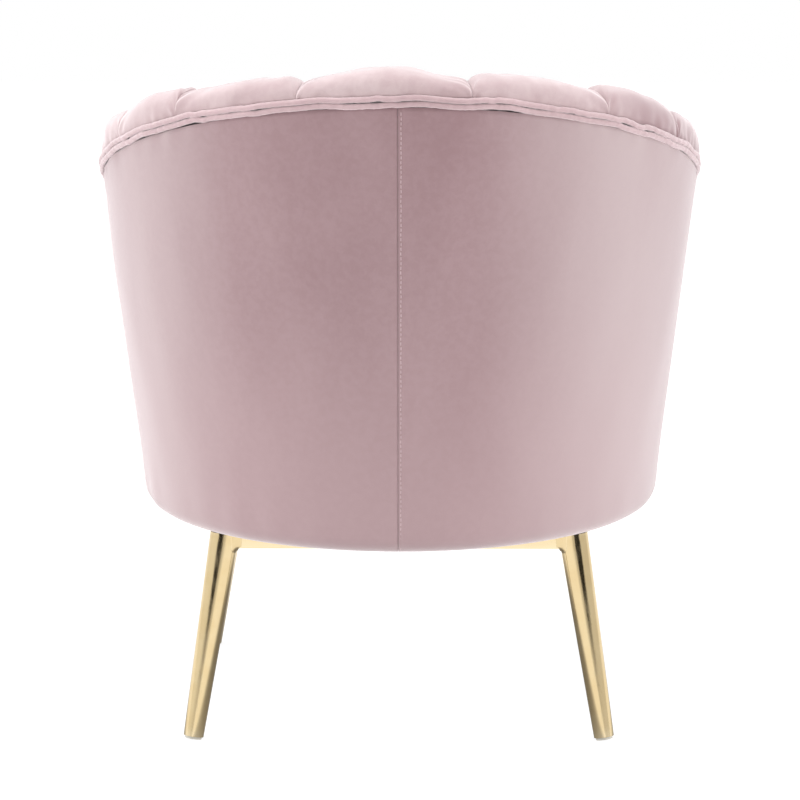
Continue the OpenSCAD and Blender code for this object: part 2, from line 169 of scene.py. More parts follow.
def make(name, verts, faces, slot, body="root", replaces=(), fill=None):
    """New smooth-shaded piece from points and faces, hung on its body, in the material of its slot, with the
    CAD nodes it replaces hidden.
    """
    mesh = bpy.data.meshes.new(name)
    mesh.from_pydata([tuple(map(float, v)) for v in verts], [], [tuple(map(int, f)) for f in faces])
    bm = bmesh.new()
    bm.from_mesh(mesh)
    bmesh.ops.recalc_face_normals(bm, faces=bm.faces)
    bm.to_mesh(mesh)
    bm.free()
    mesh.shade_smooth()
    obj = bpy.data.objects.new(name, mesh)
    SCENE.collection.objects.link(obj)
    mesh.materials.append(MATERIALS[slot])
    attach(obj, body)
    if replaces:
        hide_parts(*replaces)
    return obj


def make_pad(name, verts, faces, fill, body="root", replaces=None):
    """New padded piece in the paler copy of the velvet, whose lighter colour is painted light from above."""
    pad = make(name, verts, faces, "velvet", body, replaces or [name], fill)
    pad.data.materials[0] = PAINTED_LIGHT_PAD_VELVET
    return pad


def slab_parts(front, back):
    """Points and faces of the closed solid between two grids of the same size."""
    rows, cols = front.shape[:2]
    count = rows * cols
    index = np.arange(count).reshape(rows, cols)
    quads = np.stack([index[:-1, :-1], index[1:, :-1], index[1:, 1:], index[:-1, 1:]], -1).reshape(-1, 4)
    edge = np.concatenate([index[0, :-1], index[:-1, -1], index[-1, :0:-1], index[:0:-1, 0]])
    after = np.roll(edge, -1)
    sides = np.stack([edge, after, after + count, edge + count], -1)
    verts = np.concatenate([front.reshape(-1, 3), back.reshape(-1, 3)])
    return verts, np.concatenate([quads[:, ::-1], quads + count, sides])


def ring_parts(rings):
    """Points and faces of a solid through closed rings, each end closed by a fan."""
    rings = np.asarray(rings)
    rows, cols = rings.shape[:2]
    index = np.arange(rows * cols).reshape(rows, cols)
    nxt = np.roll(index, -1, axis=1)
    quads = np.stack([index[:-1], nxt[:-1], nxt[1:], index[1:]], -1).reshape(-1, 4)
    low, high = rows * cols, rows * cols + 1
    verts = np.concatenate([rings.reshape(-1, 3), rings[0].mean(0)[None], rings[-1].mean(0)[None]])
    faces = [tuple(q) for q in quads]
    faces += [(low, nxt[0, k], index[0, k]) for k in range(cols)]
    faces += [(high, index[-1, k], nxt[-1, k]) for k in range(cols)]
    return verts, faces


def joined(parts):
    """Several (points, faces) pairs as one."""
    verts, faces, start = [], [], 0
    for points, polygons in parts:
        verts.extend(points)
        faces.extend(tuple(int(k) + start for k in f) for f in polygons)
        start += len(points)
    return verts, faces


def along(path):
    """Distance travelled at each point of a path."""
    return np.concatenate([[0], np.cumsum(np.linalg.norm(np.diff(path, axis=0), axis=1))])


def resampled(path, count):
    """The same path with evenly spaced points."""
    travelled = along(path)
    steps = np.linspace(0, travelled[-1], count)
    return np.stack([np.interp(steps, travelled, path[:, k]) for k in range(3)], 1)


def tube_rings(path, radius, sides=14, wrinkle=0.0, seed=1, closed=False):
    """Rings of a round cord along a path, with slanted wrinkles in its cover."""
    path = np.asarray(path)
    if closed:
        tangent = np.roll(path, -1, axis=0) - np.roll(path, 1, axis=0)
    else:
        tangent = np.gradient(path, axis=0)
    tangent /= np.linalg.norm(tangent, axis=1, keepdims=True)
    first = np.cross(tangent[0], [0.13, 0.21, 0.97])
    frames = [first / np.linalg.norm(first)]
    for t in tangent[1:]:
        u = frames[-1] - np.dot(frames[-1], t) * t
        frames.append(u / np.linalg.norm(u))
    u = np.array(frames)
    v = np.cross(tangent, u)
    travelled = along(path)[:, None]
    angle = np.arange(sides)[None] * TAU / sides
    draw = np.random.default_rng(seed)
    ripple = 0
    for _ in range(4):
        turns = travelled * TAU / draw.uniform(0.006, 0.016)
        ripple = ripple + np.sin(turns + draw.choice([-1, 1]) * angle + draw.uniform(0, TAU))
    r = radius * (1 + wrinkle * ripple / 2)
    offset = r[..., None] * (np.cos(angle)[..., None] * u[:, None] + np.sin(angle)[..., None] * v[:, None])
    return path[:, None] + offset


def closed_tube_parts(rings):
    """Points and faces of a cord that joins up with itself."""
    rows, cols = rings.shape[:2]
    index = np.arange(rows * cols).reshape(rows, cols)
    down = np.roll(index, -1, axis=0)
    quads = np.stack([index, np.roll(index, -1, 1), np.roll(down, -1, 1), down], -1).reshape(-1, 4)
    return rings.reshape(-1, 3), quads


# ---- Materials ----

class Nodes:
    """Small builder for one tree of shader nodes."""

    def __init__(self, tree):
        self.tree = tree

    def add(self, kind, **settings):
        """New node with the given settings."""
        node = self.tree.nodes.new(kind)
        for key, value in settings.items():
            setattr(node, key, value)
        return node

    def feed(self, socket, value):
        """Gives an input a link, a colour or a plain value."""
        if isinstance(value, bpy.types.NodeSocket):
            self.tree.links.new(value, socket)
        elif isinstance(value, tuple) and len(value) == 3 and socket.type == "RGBA":
            socket.default_value = (*value, 1)
        else:
            socket.default_value = value

    def span(self, value, low, high, to_low=0.0, to_high=1.0):
        """Runs smoothly from to_low to to_high while the value goes from low to high."""
        node = self.add("ShaderNodeMapRange", interpolation_type="SMOOTHSTEP")
        for socket, number in zip(node.inputs, (value, low, high, to_low, to_high)):
            self.feed(socket, number)
        return node.outputs["Result"]

    def math(self, operation, a, b):
        """Result of a math node."""
        node = self.add("ShaderNodeMath", operation=operation)
        self.feed(node.inputs[0], a)
        self.feed(node.inputs[1], b)
        return node.outputs[0]

    def plus(self, a, b):
        return self.math("ADD", a, b)

    def times(self, a, b):
        return self.math("MULTIPLY", a, b)


class Shader(Nodes):
    """Small builder for one node material."""

    def __init__(self, name):
        self.material = bpy.data.materials.new(name)
        self.material.use_nodes = True
        super().__init__(self.material.node_tree)
        self.surface = self.tree.nodes["Principled BSDF"]
        self.coords = self.add("ShaderNodeTexCoord").outputs["Object"]

    def texture(self, node, stretch, **inputs):
        """Result of a texture node, its pattern scaled along each axis by stretch."""
        vector = self.coords
        if stretch:
            mapping = self.add("ShaderNodeMapping")
            self.feed(mapping.inputs["Vector"], vector)
            mapping.inputs["Scale"].default_value = stretch
            vector = mapping.outputs["Vector"]
        for key, value in inputs.items():
            node.inputs[key].default_value = value
        self.feed(node.inputs["Vector"], vector)
        return node.outputs["Fac"]

    def noise(self, scale, detail=2.0, distortion=0.0, stretch=None):
        node = self.add("ShaderNodeTexNoise")
        return self.texture(node, stretch, Scale=scale, Detail=detail, Distortion=distortion)

    def wave(self, scale, distortion, direction, stretch=None):
        node = self.add("ShaderNodeTexWave", bands_direction=direction)
        return self.texture(node, stretch, Scale=scale, Distortion=distortion)

    def mix(self, factor, a, b):
        """Colour between a and b."""
        node = self.add("ShaderNodeMix", data_type="RGBA")
        for socket, value in ((0, factor), (6, a), (7, b)):
            self.feed(node.inputs[socket], value)
        return node.outputs[2]

    def place(self):
        """The x, y and z of the point being shaded."""
        split = self.add("ShaderNodeSeparateXYZ")
        self.feed(split.inputs[0], self.coords)
        return split.outputs

    def pointiness(self):
        """Over 0.5 on ridges and under it in creases."""
        return self.add("ShaderNodeNewGeometry").outputs["Pointiness"]

    def bump(self, height, distance, strength):
        """Fine relief, in metres."""
        node = self.add("ShaderNodeBump")
        node.inputs["Strength"].default_value = strength
        node.inputs["Distance"].default_value = distance
        self.feed(node.inputs["Height"], height)
        self.tree.links.new(node.outputs["Normal"], self.surface.inputs["Normal"])

    def set(self, **values):
        """Fills in the shader's own inputs."""
        for key, value in values.items():
            self.feed(self.surface.inputs[key.replace("_", " ")], value)
        return self.material


def velvet(name, dark, light, sheen, rub=0.35, painted_light_and_patches=None):
    """Short-pile velvet: brushed patches, fine pile, a soft sheen, paler rubbed ridges and painted shade in
    the creases; the optional last function adds a piece's painted light and shade, with random crushed
    patches on the pads.
    """
    sh = Shader(name)
    patches = sh.noise(4.5, 2.0, 0.6, (1, 1, 0.6))
    streaks = sh.noise(11.0, 3.0, 0.3, (1, 1, 0.22))
    mottle = sh.noise(120.0, 4.0, 0.3)
    pile = sh.noise(1500.0, 2.0)
    brushed = 0.0
    for texture, share in ((patches, 0.30), (streaks, 0.25), (mottle, 0.25), (pile, 0.20)):
        brushed = sh.plus(brushed, sh.span(texture, 0.3, 0.7, 0.0, share))
    base = sh.mix(brushed, dark, light)
    if painted_light_and_patches:
        base = painted_light_and_patches(sh, base)
    rubbed = sh.span(sh.pointiness(), 0.52, 0.60, 0.0, rub)
    base = sh.mix(rubbed, base, tuple(min(1.0, c * 1.16 + 0.02) for c in light))
    # Painted shade: darker in the creases, where the pointiness is low.
    crease_shade = sh.span(sh.pointiness(), 0.40, 0.49, 0.25, 0.0)
    base = sh.mix(crease_shade, base, tuple(c * 0.72 for c in dark))
    sh.bump(sh.plus(sh.times(pile, 0.6), sh.times(mottle, 0.7)), 0.30 * MM, 0.5)
    return sh.set(
        Base_Color=base, Roughness=sh.span(mottle, 0.2, 0.8, 0.80, 0.95), Sheen_Weight=sheen,
        Sheen_Roughness=0.5, Sheen_Tint=(1.0, 0.93, 0.94), Specular_IOR_Level=0.12)


def uneven_place(sh, axis):
    """Position along an axis, made uneven so that what fades along it has a soft edge."""
    wander = sh.math("SUBTRACT", sh.noise(9.0, 3.0, 0.4, (1, 1, 0.4)), 0.5)
    return sh.plus(sh.place()[axis], sh.times(wander, 0.06))


def cover_painted_light(sh, base):
    """Painted light on the outer covers: paler low down, standing for light from the floor below, and paler
    where they turn round to the sides, standing for sheen and side light.
    """
    x = uneven_place(sh, "X")
    # Painted light from below: paler towards the bottom.
    low = sh.span(uneven_place(sh, "Z"), 0.27, 0.62, 0.48, 0.0)
    # Painted sheen and side light: paler bands where the covers turn round to either side.
    right = sh.times(sh.span(x, -0.26, -0.06, 0.7, 0.0), sh.span(x, -0.34, -0.27, 0.4, 1.0))
    left = sh.times(sh.span(x, 0.18, 0.28, 0.0, 0.35), sh.span(x, 0.30, 0.34, 1.0, 0.1))
    sides = sh.mix(sh.plus(right, left), base, (0.43, 0.345, 0.35))
    return sh.mix(low, sides, (0.42, 0.30, 0.31))


def pad_patches_and_shade(sh, base):
    """The padded pieces have hand-sized crushed patches, and painted shade that makes them darker at the top
    on the sitter's right.
    """
    crushed = sh.span(sh.noise(8.0, 3.0, 0.7), 0.38, 0.66, 0.0, 0.40)
    patched = sh.mix(crushed, base, (0.31, 0.20, 0.213))
    # Painted shade: darker towards the top on the sitter's right (negative x).
    away = sh.span(uneven_place(sh, "X"), -0.31, -0.20, 0.90, 0.0)
    high = sh.span(uneven_place(sh, "Z"), 0.60, 0.72, 0.35, 1.0)
    return sh.mix(sh.times(away, high), patched, (0.27, 0.17, 0.182))


def polished_gold():
    """Polished brass-gold plating with faint smudges and hairlines."""
    sh = Shader("gold_metal")
    smudge = sh.noise(38.0, 4.0, 0.6)
    hairline = sh.noise(420.0, 3.0, 0.0, (1, 1, 0.06))
    tint = sh.mix(sh.span(smudge, 0.3, 0.75), (0.67, 0.52, 0.29), (0.70, 0.56, 0.33))
    worn = sh.span(sh.pointiness(), 0.53, 0.62, 0.0, 0.5)
    tint = sh.mix(worn, tint, (0.86, 0.74, 0.52))
    rough = sh.plus(sh.span(smudge, 0.35, 0.8, 0.05, 0.10), sh.span(hairline, 0.4, 0.8, 0.0, 0.04))
    sh.bump(hairline, 0.02 * MM, 0.3)
    return sh.set(Base_Color=tint, Metallic=1.0, Roughness=rough)


def zinc_steel():
    """Bright zinc-plated steel with a mottled passivated film."""
    sh = Shader("zinc_steel")
    film = sh.noise(160.0, 4.0, 0.8)
    spots = sh.noise(700.0, 2.0)
    colour = sh.mix(sh.span(film, 0.3, 0.7), (0.50, 0.51, 0.53), (0.66, 0.67, 0.68))
    sh.bump(spots, 0.05 * MM, 0.4)
    return sh.set(Base_Color=colour, Metallic=1.0, Roughness=sh.span(film, 0.3, 0.8, 0.28, 0.48))


def timber():
    """Plain sawn beech with rays and growth rings."""
    sh = Shader("frame_timber")
    rings = sh.wave(26.0, 6.0, "X", (1, 1, 0.35))
    fleck = sh.noise(420.0, 3.0, 0.0, (1, 1, 0.15))
    colour = sh.mix(rings, (0.50, 0.33, 0.18), (0.62, 0.44, 0.26))
    colour = sh.mix(sh.span(fleck, 0.55, 0.75, 0.0, 0.4), colour, (0.36, 0.22, 0.11))
    sh.bump(sh.plus(rings, fleck), 0.15 * MM, 0.5)
    return sh.set(Base_Color=colour, Roughness=sh.span(fleck, 0.3, 0.8, 0.62, 0.8))


def hardboard():
    """Pressed brown fibre board."""
    sh = Shader("backing_board")
    fibre = sh.noise(650.0, 5.0, 1.2)
    cloud = sh.noise(20.0, 2.0)
    colour = sh.mix(sh.span(fibre, 0.3, 0.7), (0.20, 0.12, 0.07), (0.34, 0.22, 0.13))
    colour = sh.mix(sh.span(cloud, 0.3, 0.7, 0.0, 0.4), colour, (0.26, 0.16, 0.09))
    sh.bump(fibre, 0.1 * MM, 0.5)
    return sh.set(Base_Color=colour, Roughness=sh.span(fibre, 0.2, 0.8, 0.55, 0.75))


def woven(name, dark, light, pitch, roughness):
    """Plain weave of two crossed sets of threads, the given distance apart."""
    sh = Shader(name)
    warp = sh.wave(TAU / pitch / 20, 0.2, "X")
    weft = sh.wave(TAU / pitch / 20, 0.2, "Y")
    threads = sh.times(warp, weft)
    lint = sh.noise(90.0, 4.0, 0.5)
    colour = sh.mix(threads, dark, light)
    colour = sh.mix(sh.span(lint, 0.5, 0.8, 0.0, 0.35), colour, tuple(min(1.0, c * 1.5) for c in light))
    sh.bump(threads, 0.25 * MM, 0.8)
    return sh.set(Base_Color=colour, Roughness=sh.span(lint, 0.3, 0.7, roughness, min(1.0, roughness + 0.1)))


def open_foam():
    """Cut open-cell foam."""
    sh = Shader("foam")
    cells = sh.noise(900.0, 2.0)
    yellowing = sh.noise(12.0, 2.0)
    colour = sh.mix(sh.span(yellowing, 0.3, 0.7), (0.80, 0.74, 0.55), (0.72, 0.62, 0.38))
    colour = sh.mix(sh.span(cells, 0.3, 0.5, 0.5, 0.0), colour, (0.40, 0.34, 0.20))
    sh.bump(cells, 0.4 * MM, 0.7)
    return sh.set(Base_Color=colour, Roughness=sh.span(cells, 0.2, 0.8, 0.85, 0.95))


def moulded_plastic():
    """Pale nylon with the fine spark-eroded texture of its mould and grey scuffs near the floor."""
    sh = Shader("glide_plastic")
    grain = sh.noise(1200.0, 2.0)
    scuff = sh.noise(70.0, 4.0, 1.0, (1, 1, 3))
    colour = sh.mix(sh.span(scuff, 0.55, 0.75, 0.0, 0.5), (0.64, 0.61, 0.54), (0.42, 0.40, 0.36))
    sh.bump(grain, 0.06 * MM, 0.6)
    return sh.set(
        Base_Color=colour, Roughness=sh.span(scuff, 0.3, 0.8, 0.42, 0.62), Subsurface_Weight=0.15,
        Subsurface_Radius=(0.004, 0.004, 0.003))


DUSK = (0.232, 0.140, 0.150)
ROSE = (0.310, 0.208, 0.219)
MATERIALS = {
    "velvet": velvet("velvet", DUSK, ROSE, 1.0, painted_light_and_patches=cover_painted_light),
    # The welts, piping and stitches get a paler copy of the cover velvet: painted sheen on the round cords.
    "velvet_trim": velvet("velvet_trim", (0.36, 0.243, 0.255), (0.51, 0.375, 0.39), 1.0, 0.6),
    "gold_metal": polished_gold(),
    "glide_plastic": moulded_plastic(),
    "zinc_steel": zinc_steel(),
    "frame_timber": timber(),
    "backing_board": hardboard(),
    "webbing": woven("webbing", (0.010, 0.010, 0.011), (0.045, 0.043, 0.045), 1.6 * MM, 0.7),
    "dust_cloth": woven("dust_cloth", (0.012, 0.012, 0.013), (0.035, 0.035, 0.037), 0.9 * MM, 0.85),
    "foam": open_foam(),
    "zip": woven("zip", (0.30, 0.19, 0.20), (0.44, 0.30, 0.31), 0.8 * MM, 0.6),
}
# The padded pieces get a paler, greyer copy of the same velvet: painted light, standing for the overhead
# light on their tops.
PAINTED_LIGHT_PAD_VELVET = velvet("velvet_pads_painted_paler", (0.42, 0.315, 0.322), (0.56, 0.46, 0.465), 1.0, painted_light_and_patches=pad_patches_and_shade)


def dress_frame():
    """Gives each carried-over CAD node the material of its slot."""
    for row in frame["record"]["subparts"]:
        node = frame["nodes"][row["node"]]
        node.data.materials.clear()
        node.data.materials.append(MATERIALS[row["material_slot"]])


# ---- Welds of the base ----

LEG_FOOT = np.array([246, 220, 0]) * MM
LEG_TOP = np.array([207, 184, 248]) * MM
LEG_RADII = (11.9 * MM, 17.9 * MM)
RAIL_HALF = 10 * MM


def leg_surface(start, direction):
    """How far along a direction the points meet the surface of a leg."""
    axis = LEG_TOP - LEG_FOOT
    length = np.linalg.norm(axis)
    axis = axis / length
    away = start - LEG_FOOT
    across = direction - np.dot(direction, axis) * axis
    t = np.zeros(len(start))
    for _ in range(5):
        height = (away + t[:, None] * direction) @ axis
        radius = LEG_RADII[0] + (LEG_RADII[1] - LEG_RADII[0]) * height / length
        w = away - (away @ axis)[:, None] * axis
        a, b, c = across @ across, w @ across, (w * w).sum(1) - radius ** 2
        t = (-b + np.sqrt(np.maximum(b * b - a * c, 0))) / a
    return t


def weld_fillet(along_x):
    """Smooth trumpet where a rail runs into its leg, in the quarter where x and y are positive."""
    reach = 6.5 * MM
    direction = np.array([-1.0, 0, 0]) if along_x else np.array([0, -1.0, 0])
    side = np.array([0, 1.0, 0]) if along_x else np.array([1.0, 0, 0])
    centre = np.array([LEG_TOP[0], LEG_TOP[1], TUB_Z - RAIL_HALF])
    angle = np.arange(40) * TAU / 40
    rings = []
    for turn in np.radians(np.linspace(0, 90, 12)):
        grown = RAIL_HALF + 0.15 * MM + reach * (1 - math.cos(turn))
        sharp = 0.22 + 0.2 * math.sin(turn)
        u, v = (grown * np.sign(c) * np.abs(c) ** sharp for c in (np.cos(angle), np.sin(angle)))
        start = centre + u[:, None] * side + np.minimum(v, RAIL_HALF - 0.1 * MM)[:, None] * [0, 0, 1]
        off = leg_surface(start, direction) + reach * (1 - math.sin(turn)) - 0.3 * MM
        rings.append(start + off[:, None] * direction)
    return ring_parts(rings)


def weld_fillets():
    """The fillets of all eight joints between rails and legs."""
    parts = []
    for along_x in (True, False):
        verts, faces = weld_fillet(along_x)
        for mirror_x in (1, -1):
            for mirror_y in (1, -1):
                parts.append((verts * [mirror_x, mirror_y, 1] + [0, TUB_Y, 0], faces))
    make("weld_fillets", *joined(parts), "gold_metal", replaces=["weld_beads"])


# ---- Outer covers ----

SEAM_SIDE = -1  # the side of the middle seam that carries the topstitching
STITCH_S = 3.4 * MM
SEAM_DIP = 1.2 * MM
COVER_EDGE = 7.3 * MM
TUCK_R = 262.5 * MM


def cover_relief(s, z, edge, points):
    """How far the outer velvet stands off its smooth form: swells, ripples, puckers and the middle seam."""
    off = np.abs(s)
    relief = 0.5 * MM * (1.6 + waves(points, 0.24, 11)) * smooth(off, 0, 0.05)
    relief += 0.25 * MM * waves(points, 0.075, 12, (1, 1, 2.5)) * smooth(off, 0, 0.03)
    relief += 0.40 * MM * waves(points, 0.05, 13, (1, 1, 4)) * np.exp(-np.abs(z - TUB_Z - 0.03) / 0.03)
    relief += 0.55 * MM * waves(points, 0.022, 14, (1, 1, 5)) * np.exp(-np.maximum(edge - z, 0) / 0.012)
    relief -= SEAM_DIP * np.exp(-(off / (1.6 * MM)) ** 2)
    relief += 0.40 * MM * np.sin(z * TAU / 0.0125 + 2 * np.sin(z * 31)) * np.exp(-off / 0.009)
    on_seam_side = (np.sign(s) == SEAM_SIDE) * 1.0
    relief += on_seam_side * 0.5 * MM * (1 - smooth(off, 4 * MM, 7 * MM)) * smooth(off, 0.6 * MM, 2 * MM)
    relief -= on_seam_side * 0.45 * MM * np.exp(-((off - STITCH_S) / (0.8 * MM)) ** 2)
    relief = np.maximum(relief, -SEAM_DIP)
    inside = np.minimum(edge - z, ARM_END - COVER_EDGE - off)
    return relief - 2.0 * MM * (1 - smooth(inside, 0, 3.5 * MM))


def outer_cover(name, side):
    """One half of the outer cover: tucked under, round the lower edge and up to the rim."""
    fine = np.array([0.15, 0.7, 1.3, 2.0, 2.6, 3.1, 3.4, 3.7, 4.2, 5.0, 6.0, 7.5, 9.5, 13, 17, 21]) * MM
    turn = np.sin(np.linspace(0, math.pi / 2, 18)[1:])
    corner = CORNER_S + (RIM_CORNER - COVER_EDGE) * turn
    s = side * np.concatenate([fine, np.linspace(0.025, CORNER_S, 250), corner])[:, None]
    tuck = np.linspace(TUCK_R, EDGE_CENTRE, 5)[:-1]
    arc = np.radians(np.linspace(-90, -7, 12))
    r_low = np.concatenate([tuck, EDGE_CENTRE + EDGE_R * np.cos(arc)])
    z_low = np.concatenate([np.full(4, TUB_Z), TUB_Z + EDGE_R + EDGE_R * np.sin(arc)])
    closer = 1 - 0.05 * np.linspace(1, 0, 13)[1:] ** 1.6
    share = np.concatenate([np.linspace(0, 0.95, 74), closer])[None, 1:]
    edge = edge_height(s, COVER_EDGE)
    z_side = z_low[-1] + (edge - z_low[-1]) * share
    r_side = skin_radius(z_side)
    z = np.concatenate([np.broadcast_to(z_low, (len(s), len(z_low))), z_side], 1)
    r = np.concatenate([np.broadcast_to(r_low, (len(s), len(r_low))), r_side], 1)
    front = place_r(s, r, z)
    normal = grid_normals(front, (0, TUB_Y, 0.5))
    relief = cover_relief(s, z, edge, front) * smooth(z, TUB_Z - 0.001, TUB_Z + 0.012)
    front = front + normal * relief[..., None]
    return make(name, *slab_parts(front, front - normal * 1.0 * MM), "velvet", replaces=[name])


def capsule_parts(a, b, radius, sides=6):
    """A short thread from a to b with rounded ends."""
    a, b = np.array(a), np.array(b)
    line = b - a
    widths = ((0, 0.35), (0.12, 0.85), (0.3, 1), (0.7, 1), (0.88, 0.85), (1, 0.35))
    t = line / np.linalg.norm(line)
    u = np.cross(t, [0.3, 0.9, 0.2])
    u /= np.linalg.norm(u)
    v = np.cross(t, u)
    angle = np.arange(sides) * TAU / sides
    circle = radius * (np.cos(angle)[:, None] * u + np.sin(angle)[:, None] * v)
    return ring_parts([a + line * share + width * circle for share, width in widths])


def back_topstitch():
    """Row of stitches beside the middle seam of the back, down round its lower edge."""
    stitch, step = 4.2 * MM, 5.6 * MM
    s = SEAM_SIDE * STITCH_S
    low, high = TUB_Z + EDGE_R, RIM_BACK - COVER_EDGE - 1 * MM
    ends = []
    for k in range(int((high - low) / step)):
        sway = 0.12 * MM * math.sin(k * 1.7)
        ends.append([place(s + sway, -0.35 * MM, low + k * step + dz) for dz in (0, stitch)])
    for k in range(int(1.3 * EDGE_R / step)):
        turns = [((k + 1) * step - done) / EDGE_R for done in (stitch, 0)]
        ends.append([edge_point(s, -a) for a in turns])
    parts = [capsule_parts(a, b, 0.42 * MM) for a, b in ends]
    make("back_topstitch", *joined(parts), "velvet_trim")


# ---- Double welt ----

WELT_R = 3.3 * MM


def welt_half(drop):
    """One side of a welt's path: round the bottom edge, up the arm's front and along the rim."""
    front_s = ARM_END - drop
    corner = RIM_CORNER - drop
    points = [edge_point(front_s, a) for a in np.radians(np.linspace(-60, -7, 8))]
    turn = float(edge_height(CORNER_S, RIM_CORNER))
    for z in np.linspace(TUB_Z + EDGE_R + 0.004, turn, 40):
        points.append(place(front_s, 0, z))
    for a in np.radians(np.linspace(84, 0, 15)):
        s = CORNER_S + corner * math.sin(a)
        points.append(place(s, 0, turn + corner * math.cos(a)))
    for s in np.linspace(CORNER_S, 0, 200)[1:]:
        points.append(place(s, 0, float(rim_height(s)) - drop))
    return np.array(points)


def welt_sway(path):
    """Small shared wandering of the double welt, with a few sharper kinks."""
    travelled = along(path)
    sway = 0.75 * MM * waves(path, 0.075, 25) + 0.25 * MM * waves(path, 0.03, 26)
    draw = np.random.default_rng(27)
    for centre in np.arange(0.05, travelled[-1], 0.085):
        centre += draw.uniform(-0.03, 0.03)
        width = draw.uniform(0.006, 0.014)
        kink = draw.choice([-1, 1]) * draw.uniform(0.3, 1.5) * MM
        sway += kink * np.exp(-((travelled - centre) / width) ** 2)
    return sway


def welt(name, drop, seed):
    """One cord of the double welt, a given drop below the rim."""
    half = welt_half(drop)
    path = resampled(np.concatenate([half, half[-2::-1] * [-1, 1, 1]]), 1500)
    outward = path - [0, TUB_Y, 0]
    outward[:, 1] = np.maximum(outward[:, 1], 0)
    outward = level_units(outward)
    path[:, 2] += welt_sway(path)
    path += outward * (0.25 * MM * waves(path, 0.04, seed))[:, None]
    rings = tube_rings(path, WELT_R, 16, 0.045, seed)
    make(name, *ring_parts(rings), "velvet_trim", replaces=[name])


# ---- Channelled inside ----

JOINTS = np.radians([-90, -64, -40.5, -13, 18, 44, 65, 90]) * R_REF
ARM_STEP = ARM_LEN / 2
CHANNELS = (
    [(-QUARTER - ARM_STEP * (2 - k), -QUARTER - ARM_STEP * (1 - k)) for k in range(2)]
    + list(zip(JOINTS[:-1], JOINTS[1:]))
    + [(QUARTER + ARM_STEP * k, QUARTER + ARM_STEP * (k + 1)) for k in range(2)])
PEAKS = np.array([38, 42, 47.5, 45, 35.5, 33, 34, 44, 47.5, 42, 38]) * MM
VALLEYS = np.array([31, 32, 36, 35, 28, 19.4, 18.4, 34, 35.5, 36, 32, 31]) * MM
FACE_ROWS = 80
SEAM_DEPTH = 57 * MM
CROWN_DEPTH = 80.5 * MM
DEEPEST = 81.5 * MM
LOBE_GAP = 0.24 * MM
ROLL_R = 45 * MM
TIMBER_DEPTH = 39.5 * MM
PAD_LOW = DECK_LOW.z + 0.3 * MM


def gathers(s, seed):
    """Uneven little folds side by side, of about unit height."""
    draw = np.random.default_rng(seed)
    return sum(np.sin(s * TAU / draw.uniform(0.012, 0.030) + draw.uniform(0, TAU)) for _ in range(4)) / 1.5


def channel_relief(number, front, s, t, half):
    """How far a lobe's velvet stands off its form, with puckers at its seams and gathers at the welt."""
    travelled = np.cumsum(np.linalg.norm(np.diff(front, axis=1, prepend=front[:, :1]), axis=2), axis=1)
    to_welt = travelled[:, -1:] - travelled
    face_end, roll_start = travelled[:, FACE_ROWS - 1:FACE_ROWS], travelled[:, FACE_ROWS:FACE_ROWS + 1]
    on_roll = smooth(travelled, face_end - 0.06, roll_start)
    from_seam = (1 - np.abs(t)) * half
    draw = np.random.default_rng(40 + number)
    pucker = np.zeros_like(travelled)
    for _ in range(6):
        tilt = draw.uniform(-25, 25) * t
        phase = travelled * TAU / draw.uniform(0.012, 0.034) + draw.uniform(0, TAU)
        pucker += np.sin(phase + tilt * from_seam / half)
    near_seam = np.exp(-from_seam / 0.011) * smooth(from_seam, -0.001, 0.003)
    relief = (0.28 + 0.34 * on_roll) * MM * pucker * near_seam
    relief += 0.75 * MM * gathers(s, 100 + number) * np.exp(-to_welt / 0.011) * smooth(from_seam, 0, 0.004)
    relief += 0.9 * MM * waves(front, 0.085, 60 + number) * smooth(from_seam, 0, 0.02)
    relief += 0.35 * MM * waves(front, 0.032, 80 + number) * smooth(from_seam, 0, 0.015)
    return relief * (smooth(to_welt, 0.001, 0.009) * smooth(travelled, 0, 0.01))


